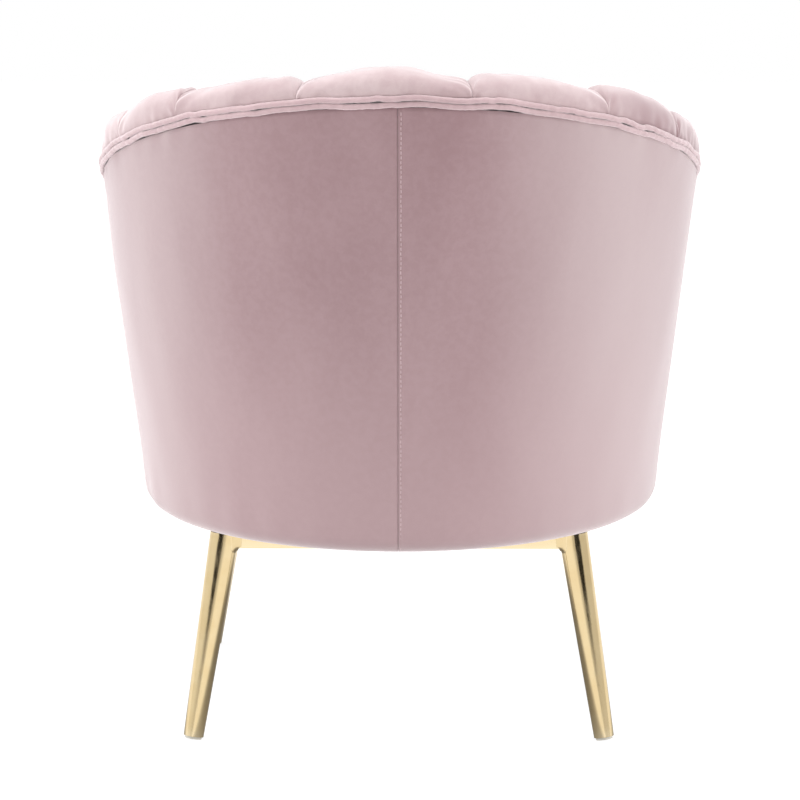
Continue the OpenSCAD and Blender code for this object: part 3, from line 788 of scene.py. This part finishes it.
def channel(number):
    """One padded lobe: up the inside of the wall, over its top and down to the welt."""
    start, end = CHANNELS[number - 1]
    half = (end - start) / 2
    t = np.sin(np.linspace(-1, 1, 65) * math.pi / 2)[:, None]
    s = (start + end) / 2 + t * (half - LOBE_GAP / 2)
    crown = (1 - np.minimum(np.abs(t), 1) ** 2.3) ** 0.6
    valley = VALLEYS[number - 1] + (VALLEYS[number] - VALLEYS[number - 1]) * (1 + t) / 2
    rim = rim_height(s)
    top = valley + (PEAKS[number - 1] - valley) * crown ** 0.9
    inner = SEAM_DEPTH + (CROWN_DEPTH - SEAM_DEPTH) * crown
    middle = (30 + 7 * crown) * MM
    outer = (1.7 + 1.2 * (1 - crown)) * MM
    spring = rim + top - ROLL_R

    up = np.linspace(0, 1, FACE_ROWS)[None]
    z_face = PAD_LOW + (spring - PAD_LOW) * up
    lumbar = 1 - 0.05 * np.cos(up * TAU)
    tucked = 1 - 0.25 * np.exp(-up * 22)
    d_face = SEAM_DEPTH + (inner - SEAM_DEPTH) * lumbar * tucked
    phi = np.linspace(0, math.pi / 2, 25)[None, 1:]
    d_in = middle + (d_face[:, -1:] - middle) * np.cos(phi) ** 0.91
    z_in = spring + ROLL_R * np.sin(phi) ** 0.91
    full = 0.88 - 0.14 * crown
    phi = phi[:, ::-1] - phi[:, :1]
    low = 5.6 * MM
    d_out = middle - (middle - outer) * np.cos(phi) ** full
    z_out = rim + low + (top - low) * np.sin(phi) ** full
    tuck = np.array([[0.35, 0.7, 1.0]])
    d_tuck = outer + 2.4 * MM * tuck ** 0.6
    z_tuck = rim + low - 5.2 * MM * tuck
    depth = np.concatenate([np.minimum(d_face, DEEPEST), d_in, d_out, d_tuck], 1)
    z = np.concatenate([z_face, z_in, z_out, z_tuck], 1)
    front = place(s, depth, z)
    normal = grid_normals(front, place((start + end) / 2, 20 * MM, 0.55))
    front = front + normal * channel_relief(number, front, s, t, half)[..., None]

    timber_top = rim - 14 * MM
    over = np.linspace(0, 1, z.shape[1] - FACE_ROWS)[None]
    d_back = np.concatenate(
        [np.full_like(z_face, TIMBER_DEPTH), TIMBER_DEPTH - 33.5 * MM * over + 0 * rim], 1)
    z_back = np.concatenate([np.minimum(z_face, timber_top), timber_top + 13.5 * MM * over], 1)
    make_pad(f"channel_{number}", *slab_parts(front, place(s, d_back, z_back)), fill=0.8)


# ---- Arm fronts, apron and deck ----

NOSE_R = 38.4 * MM
NOSE_DEPTH = 43 * MM


def arm_front(name, side):
    """Padded half-round end of an arm with a domed top and a tucked bottom."""
    theta = np.radians(np.linspace(0, 180, 37))
    rim_end = float(rim_height(ARM_END))
    top = rim_end + 37 * MM
    dome = 38 * MM
    low = TUB_Z + 0.4 * MM
    foot = 14 * MM
    levels = [(math.sin(a), low + foot * (1 - math.cos(a))) for a in np.radians([50, 60, 70, 80])]
    levels = [(1 - (1 - w) * foot / NOSE_R, z) for w, z in levels]
    levels += [(1, z) for z in np.linspace(low + foot, top - dome, 70)]
    for a in np.radians(np.linspace(5, 86, 20)):
        levels.append((math.cos(a) ** 0.85, top - dome + dome * math.sin(a) ** 0.9))
    rings = []
    for width, z in levels:
        depth = NOSE_DEPTH - NOSE_R * np.cos(theta) * width
        ahead = NOSE_R * np.sin(theta) * width + 0.4 * MM
        curve = place(ARM_END + ahead, depth, np.full_like(theta, z))
        chord = np.linspace(1, 0, 14)[1:-1][:, None]
        flat = curve[0] + (curve[-1] - curve[0]) * chord
        rings.append(np.concatenate([curve, flat]))
    rings = np.array(rings)
    centre = place(ARM_END, NOSE_DEPTH, 0.45)
    away = level_units(rings - centre)
    share = np.concatenate([np.sin(theta), np.zeros(12)])[None, :, None]
    relief = 0.8 * MM * waves(rings, 0.10, 31 + side) + 0.4 * MM * waves(rings, 0.035, 33 + side, (1, 1, 2))
    rings = rings + away * relief[..., None] * share
    rings[..., 0] *= side
    make_pad(name, *ring_parts(rings), fill=0.9)


def apron():
    """Padded front band below the cushion, rounded over at its top and bottom edges."""
    high = DECK_HIGH.z
    y_front = TUB_Y - ARM_LEN - 14 * MM
    bend = 12 * MM
    y_back = TUB_Y - ARM_LEN
    quarter = np.radians(np.linspace(0, 90, 9))
    profile = [(y_back + 13 * MM, TUB_Z)]
    profile += [(y_front + bend - bend * math.sin(a), TUB_Z + bend - bend * math.cos(a)) for a in quarter]
    profile += [(y_front, z) for z in np.linspace(TUB_Z + bend, high - bend, 22)[1:-1]]
    profile += [(y_front + bend - bend * math.cos(a), high - bend + bend * math.sin(a)) for a in quarter]
    profile += [(y_back, high)]
    y, z = np.array(profile).T
    u = np.linspace(-1, 1, 90)[:, None]
    half = skin_radius(z) - (WALL + 0.6 * MM) / COS_FLARE
    front = np.stack(np.broadcast_arrays(u * half, y, z), -1)
    middle = (z - TUB_Z) / (high - TUB_Z)
    puff = 4.0 * MM * (np.sin(np.pi * middle) * (1 - np.abs(u) ** 5)) ** 0.8
    puff = puff + 0.5 * MM * waves(front, 0.09, 51) * np.sin(np.pi * middle)
    front[..., 1] -= puff
    back = front.copy()
    back[..., 1] = y_back + 0.4 * MM
    back[..., 1] = np.maximum(back[..., 1], front[..., 1] + 1.5 * MM)
    back[..., 2] = np.clip(back[..., 2], TUB_Z + 1.8 * MM, high - 1.8 * MM)
    make("apron", *slab_parts(front, back), "velvet", replaces=["apron_cover", "apron_foam"], fill=0.9)


def d_outline(radius, front, corner, count=240):
    """Seat outline from the middle of the front edge round, evenly spaced, in the plane."""
    quarter = np.linspace(0, math.pi / 2, 16)
    side, ahead = radius - corner, corner - front
    half = [(0, -front)]
    half += [(side + corner * math.sin(a), ahead - corner * math.cos(a)) for a in quarter]
    half += [(radius * math.cos(a), radius * math.sin(a)) for a in np.linspace(0, math.pi / 2, 40)]
    half = np.array(half)
    loop = np.concatenate([half, half[-2:0:-1] * [-1, 1], half[:1]])
    path = np.column_stack([loop, np.zeros(len(loop))])
    return resampled(path, count + 1)[:-1, :2]


def d_ring(radius, front, corner, z, inset=0.0, count=240):
    """One level ring of a D-shaped solid, in the row frame."""
    outline = d_outline(radius - inset, front - inset, max(corner - inset, 4 * MM), count)
    z = np.broadcast_to(z, (count,))
    return np.column_stack([outline[:, 0], outline[:, 1] + TUB_Y, z])


def seat_deck():
    """Thin velvet-covered platform under the cushion, with a stitched border."""
    radius, front, corner = 236 * MM, ARM_LEN - 1 * MM, 8 * MM
    low, high = DECK_LOW.z, DECK_HIGH.z
    rings = []
    for inset, z in ((150, 0), (80, 0), (20, 0), (2.5, 0), (0.6, 0.15), (0, 0.35), (0, 0.6), (0.9, 0.85)):
        rings.append(d_ring(radius, front, corner, low + (high - low) * z, inset * MM))
    for inset in (2.5, 6, 12, 20, 26, 29, 30, 31, 34, 40, 55, 75, 100, 130, 160, 190, 215):
        stitched = 2.2 * math.exp(-((inset - 30) / 1.6) ** 2)
        z = high - (0.3 + stitched) * MM
        rings.append(d_ring(radius, front, corner, z, inset * MM))
    rings = np.array(rings)
    rings[8:, :, 2] += 0.25 * MM * np.minimum(waves(rings[8:], 0.12, 71), 1)
    make("seat_deck", *ring_parts(rings), "velvet", replaces=["seat_deck"], fill=1.0)


# ---- Dust cover and webbing ----

def dust_cover():
    """Black cloth stretched under the seat."""
    corner, far_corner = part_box("dust_cover")
    low, front, radius = corner.z, TUB_Y - corner.y, far_corner.x
    rings = []
    for inset in np.concatenate([np.linspace(0, 0.03, 7), np.linspace(0.045, 0.25, 15)]):
        ring = d_ring(radius, front, 8 * MM, low, inset)
        ring[:, 2] += 0.12 * MM * (1 + waves(ring, 0.06, 91)) * smooth(inset, 0, 0.02)
        rings.append(ring)
    top = [ring + [0, 0, 0.5 * MM] for ring in rings]
    parts = ring_parts(np.array(rings[::-1] + top))
    cloth = make("dust_cover", *parts, "dust_cloth", replaces=["dust_cover"])


WEB_W, WEB_T = 50 * MM, 1.3 * MM
WEB_PITCH = np.array([84, 90]) * MM
WEB_SHIFT = np.array([0, -75]) * MM
WEB_REACH = 270 * MM


def webbing():
    """Elastic straps stretched across the seat ring, woven over and under each other."""
    middle = (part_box("webbing_lengthwise")[0].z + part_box("webbing_crosswise")[1].z) / 2
    for axis, name in ((1, "webbing_lengthwise"), (0, "webbing_crosswise")):
        parts = []
        for row in range(-2, 3):
            line = row * WEB_PITCH[1 - axis] + WEB_SHIFT[1 - axis]
            behind = max(line + WEB_W / 2, 0) if axis == 0 else abs(line) + WEB_W / 2
            far = math.sqrt(WEB_REACH ** 2 - behind ** 2)
            near = -far if axis == 0 else -ARM_LEN + 8 * MM
            t = np.linspace(near, far, 160)[:, None]
            across = line + np.linspace(-WEB_W / 2, WEB_W / 2, 9)[None]
            crossing = (t - WEB_SHIFT[axis]) / WEB_PITCH[axis] + row
            sway = 0.75 * MM * np.cos(math.pi * crossing) * (1 if axis else -1)
            sway = sway * smooth(t - near, 0, 0.03) * smooth(far - t, 0, 0.03)
            top = middle + sway + WEB_T / 2 + 0.1 * MM * np.cos(across / MM * 2.4)
            x, y = (across, t) if axis else (t, across)
            upper = np.stack(np.broadcast_arrays(x, y + TUB_Y, top), -1)
            parts.append(slab_parts(upper, upper - [0, 0, WEB_T]))
        make(name, *joined(parts), "webbing", replaces=[name])


# ---- Loose cushion ----

CUSHION_LOW, CUSHION_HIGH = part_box("cushion_case")
CUSHION_R = CUSHION_HIGH.x - 3.0 * MM
CUSHION_FRONT = TUB_Y - CUSHION_LOW.y - 3.0 * MM
CUSHION_CORNER = 48 * MM
SEAM_LOW = CUSHION_LOW.z + 5 * MM
SEAM_HIGH = CUSHION_HIGH.z - 9 * MM


def cushion_block():
    """Plain closed block that the cushion is blown up from."""
    shape = (CUSHION_R, CUSHION_FRONT, CUSHION_CORNER)
    insets = (0.006, 0.02, 0.06, 0.12, 0.19)
    below = [d_ring(*shape, CUSHION_LOW.z + 0.6 * MM, inset) for inset in insets[::-1]]
    beside = [d_ring(*shape, z) for z in np.linspace(SEAM_LOW, SEAM_HIGH, 12)]
    above = [d_ring(*shape, SEAM_HIGH + 4 * MM * smooth(inset, 0, 0.1), inset) for inset in insets]
    return np.array(below + beside + above)


def baked(obj):
    """Leaves the object with the mesh that its modifiers make."""
    graph = bpy.context.evaluated_depsgraph_get()
    mesh = bpy.data.meshes.new_from_object(obj.evaluated_get(graph))
    obj.modifiers.clear()
    obj.data = mesh


def points_of(mesh):
    """The vertices of a mesh as an array."""
    flat = np.empty(len(mesh.vertices) * 3)
    mesh.vertices.foreach_get("co", flat)
    return flat.reshape(-1, 3)


CLOTH_FRAMES = 20
CLOTH = {
    "quality": 5, "mass": 0.3, "tension_stiffness": 12, "compression_stiffness": 12,
    "bending_stiffness": 0.8, "use_pressure": True, "uniform_pressure_force": 4,
    "vertex_group_mass": "held"}


def blown_up(obj, held, sideways, upwards):
    """Swells a closed piece with cloth pressure; held points stay, the rest move as far as asked."""
    group = obj.vertex_groups.new(name="held")
    group.add([int(k) for k in np.nonzero(held)[0]], 1.0, "REPLACE")
    start = points_of(obj.data)
    cloth = obj.modifiers.new("cloth", "CLOTH")
    for key, value in CLOTH.items():
        setattr(cloth.settings, key, value)
    cloth.settings.effector_weights.gravity = 0
    cloth.point_cache.frame_start = 1
    cloth.point_cache.frame_end = CLOTH_FRAMES
    for step in range(1, CLOTH_FRAMES + 1):
        SCENE.frame_set(step)
    baked(obj)
    SCENE.frame_set(1)
    obj.vertex_groups.clear()
    moved = points_of(obj.data) - start
    limits = np.array([sideways, sideways, upwards])
    points = start + limits * np.tanh(moved / limits)
    obj.data.vertices.foreach_set("co", points.ravel())
    obj.data.update()


def seat_cushion():
    """Box cushion blown up by cloth pressure between its two held seams."""
    cushion = make_pad(
        "seat_cushion", *ring_parts(cushion_block()), fill=0.85, body="cushion",
        replaces=["cushion_case", "cushion_core"])
    remesh = cushion.modifiers.new("remesh", "REMESH")
    remesh.mode = "VOXEL"
    remesh.voxel_size = 6 * MM
    remesh.use_smooth_shade = True
    baked(cushion)
    points = points_of(cushion.data)
    z = points[:, 2]
    held = (np.abs(z - SEAM_HIGH) < 3.4 * MM) | (np.abs(z - SEAM_LOW) < 3.4 * MM) | (z < SEAM_LOW)
    depth_in = CUSHION_R - np.hypot(points[:, 0], np.maximum(points[:, 1] - TUB_Y, 0))
    depth_in = np.minimum(depth_in, points[:, 1] - TUB_Y + CUSHION_FRONT)
    held &= (depth_in < 9 * MM) | (z < SEAM_LOW)
    blown_up(cushion, held, 5 * MM, 14 * MM)
    points = points_of(cushion.data)
    to_seam = np.minimum(np.abs(points[:, 2] - SEAM_HIGH), np.abs(points[:, 2] - SEAM_LOW))
    around = np.arctan2(points[:, 0], points[:, 1] - TUB_Y) * CUSHION_R
    outward = level_units(points - [0, TUB_Y, 0])
    near = np.exp(-to_seam / 0.012) * (depth_in < 0.03)
    points += outward * (0.5 * MM * gathers(around, 95) * near)[:, None]
    points[:, 2] += 0.9 * MM * waves(points, 0.13, 96) * smooth(points[:, 2], SEAM_LOW, SEAM_HIGH)
    cushion.data.vertices.foreach_set("co", points.ravel())
    cushion.data.update()
    cushion.data.shade_smooth()
    subdivision = cushion.modifiers.new("subdivision", "SUBSURF")
    subdivision.levels = 1
    subdivision.render_levels = 1
    return cushion


def cushion_zip(cushion):
    """Zip tape with its coil of teeth round the back of the cushion, and the slider at one end."""
    tree = BVHTree.FromObject(cushion, bpy.context.evaluated_depsgraph_get())
    middle = (SEAM_LOW + SEAM_HIGH) / 2

    def beside(degrees, z, off):
        """Point a little off the case, that far round it and at that height."""
        a = math.radians(degrees)
        outward = np.array([math.sin(a), math.cos(a), 0])
        outside = outward * 0.4 + [0, TUB_Y, z]
        hit = tree.ray_cast(Vector(outside), Vector(-outward))[0]
        return np.array(hit) + outward * off

    heights = np.array([-6, -5.7, -4, -2.4, -1.6, -0.8, 0, 0.8, 1.6, 2.4, 4, 5.7, 6]) * MM
    coil = np.array([0.2, 0.7, 0.8, 0.8, 1.3, 1.6, 1.2, 1.6, 1.3, 0.8, 0.8, 0.7, 0.2]) * MM
    tape = []
    for k, degrees in enumerate(np.linspace(-50, 50, 520)):
        tooth = 0.35 * MM * (k % 2) * (coil > 1.0 * MM)
        base = [beside(degrees, middle + h, 0) for h in (heights[0], heights[-1])]
        share = ((heights - heights[0]) / (heights[-1] - heights[0]))[:, None]
        line = base[0] * (1 - share) + base[1] * share
        a = math.radians(degrees)
        tape.append(line + np.outer(coil + tooth, [math.sin(a), math.cos(a), 0]))
    tape = np.array(tape)
    parts = [slab_parts(tape, tape - level_units(tape - [0, TUB_Y, 0]) * 0.8 * MM)]
    slider = (beside(46.4, middle, 1.8 * MM), beside(48.6, middle, 1.8 * MM))
    parts.append(capsule_parts(*slider, 2.2 * MM, 12))
    pull = (beside(48.2, middle, 3.4 * MM), beside(48.4, middle - 24 * MM, 3.0 * MM))
    parts.append(capsule_parts(*pull, 1.5 * MM, 10))
    make("cushion_zip", *joined(parts), "zip", "cushion", ["cushion_zip"])


CORD_R = 2.6 * MM


def piping(name, cushion, z, seed):
    """Covered cord sewn round the cushion along one of its seams, seated on the swollen case."""
    tree = BVHTree.FromObject(cushion, bpy.context.evaluated_depsgraph_get())
    ring = d_ring(CUSHION_R + 1.4 * MM, CUSHION_FRONT + 1.4 * MM, CUSHION_CORNER, z, 0, 420)
    ring[:, 2] += 0.3 * MM * waves(ring, 0.16, seed)
    nearest = np.array([tree.find_nearest(Vector(point))[0] for point in ring])
    away = ring - nearest
    distance = np.linalg.norm(away, axis=1, keepdims=True)
    shift = away * (np.minimum(1, 2.1 * MM / distance) - 1)
    ring = ring + sum(np.roll(shift, k, axis=0) for k in range(-3, 4)) / 7
    parts = closed_tube_parts(tube_rings(ring, CORD_R, 12, 0.04, seed, True))
    make(name, *parts, "velvet_trim", "cushion", [name])


# ---- Studio ----

FLOOR_GLOW = 0.88


def floor():
    """Pale floor whose own light is weaker under the chair, which the legs mirror."""
    size = 6.0
    mesh = bpy.data.meshes.new("floor")
    corners = [(-size, -size, 0), (size, -size, 0), (size, size, 0), (-size, size, 0)]
    mesh.from_pydata(corners, [], [(0, 1, 2, 3)])
    obj = bpy.data.objects.new("floor", mesh)
    SCENE.collection.objects.link(obj)
    sh = Shader("floor_paint")
    cloud = sh.noise(1.3, 2.0)
    x, y, _ = sh.place()
    away = sh.math("SQRT", sh.plus(sh.times(x, x), sh.times(y, y)), 0.0)
    seen = sh.times(sh.add("ShaderNodeLightPath").outputs["Is Camera Ray"], FLOOR_GLOW)
    glow = sh.math("MAXIMUM", seen, sh.span(away, 0.25, 0.54, 0.12, FLOOR_GLOW))
    obj.data.materials.append(sh.set(
        Base_Color=sh.mix(cloud, (0.27, 0.27, 0.27), (0.29, 0.29, 0.29)), Roughness=0.9,
        Specular_IOR_Level=0.0, Emission_Color=(1.0, 1.0, 1.0), Emission_Strength=glow))


def studio_world():
    """White surroundings with darker gaps between the soft boxes, in front of and behind the chair."""
    world = bpy.data.worlds.new("studio")
    SCENE.world = world
    world.use_nodes = True
    world.node_tree.nodes.clear()
    nodes = Nodes(world.node_tree)
    add, feed, span = nodes.add, nodes.feed, nodes.span
    calc, plus, times = nodes.math, nodes.plus, nodes.times
    split = add("ShaderNodeSeparateXYZ")
    feed(split.inputs[0], add("ShaderNodeTexCoord").outputs["Generated"])
    x, y, z = split.outputs
    across = times(x, x)
    lateral = calc("DIVIDE", across, plus(plus(across, times(y, y)), 1e-6))
    raised = calc("SUBTRACT", z, times(lateral, 0.1))
    narrowed = plus(lateral, span(raised, -0.004, 0.024, 0.8, 0.0))
    light = plus(span(narrowed, 0.15, 0.95, 0.42, 0.85), span(z, 0.5, 1.0, 0.0, 0.35))
    light = plus(light, span(x, 0.3, 1.0, 0.0, 0.25))
    low = span(z, 0.30, 0.55, 1.0, 0.0)
    behind = times(span(narrowed, 0.48, 0.64, 0.95, 0.0), calc("GREATER_THAN", y, 0.0))
    ahead = times(span(lateral, 0.35, 0.60, 0.65, 0.0), calc("LESS_THAN", y, 0.0))
    gaps = times(plus(behind, ahead), low)
    light = times(light, calc("SUBTRACT", 1.0, gaps))
    seen = add("ShaderNodeLightPath").outputs["Is Camera Ray"]
    strength = plus(times(light, calc("SUBTRACT", 1.0, seen)), seen)
    background = add("ShaderNodeBackground")
    feed(background.inputs["Color"], (1, 1, 1))
    feed(background.inputs["Strength"], strength)
    feed(add("ShaderNodeOutputWorld").inputs[0], background.outputs[0])


def soft_box(name, place_at, target, size, power, mirrored=False):
    """Rectangular light; the metal of the base mirrors it only if asked."""
    data = bpy.data.lights.new(name, "AREA")
    data.shape = "RECTANGLE"
    data.size, data.size_y = size
    data.energy = power
    obj = bpy.data.objects.new(name, data)
    obj.location = place_at
    obj.rotation_euler = (Vector(target) - Vector(place_at)).to_track_quat("-Z", "Y").to_euler()
    obj.visible_camera = False
    obj.visible_glossy = mirrored
    SCENE.collection.objects.link(obj)


def camera():
    """Long lens five metres behind the chair, a little above it."""
    data = bpy.data.cameras.new("camera")
    data.lens = 186.75
    data.sensor_width = 36
    azimuth, pitch, distance = math.radians(0.4), math.radians(11.63), 5.0
    obj = bpy.data.objects.new("camera", data)
    obj.location = (-distance * math.sin(azimuth), TUB_Y + distance * math.cos(azimuth), 1.398)
    level = math.cos(pitch)
    aim = Vector((math.sin(azimuth) * level, -math.cos(azimuth) * level, -math.sin(pitch)))
    obj.rotation_euler = aim.to_track_quat("-Z", "Y").to_euler()
    SCENE.collection.objects.link(obj)
    SCENE.camera = obj


SCENE.view_settings.view_transform = "Standard"
camera()
floor()
studio_world()
soft_box("soft_box_top", (0.2, 0.2, 2.9), (0, 0, 0.5), (2.4, 2.4), 52, True)
soft_box("soft_box_left", (2.9, 0.5, 0.9), (0, 0, 0.55), (1.5, 2.0), 38)
soft_box("soft_box_right", (-2.7, 1.1, 0.9), (0, 0, 0.55), (1.5, 2.0), 36)
soft_box("soft_box_behind", (0, 3.2, 1.0), (0, 0.3, 0.45), (2.6, 1.2), 30)

dress_frame()
weld_fillets()
outer_cover("outer_cover_left", 1)
outer_cover("outer_cover_right", -1)
back_topstitch()
welt("welt_upper", -3 * MM, 21)
welt("welt_lower", 4 * MM, 22)
for number in range(1, len(CHANNELS) + 1):
    channel(number)
arm_front("arm_front_left", 1)
arm_front("arm_front_right", -1)
apron()
seat_deck()
webbing()
dust_cover()
case = seat_cushion()
cushion_zip(case)
piping("piping_top", case, SEAM_HIGH, 23)
piping("piping_bottom", case, SEAM_LOW, 24)
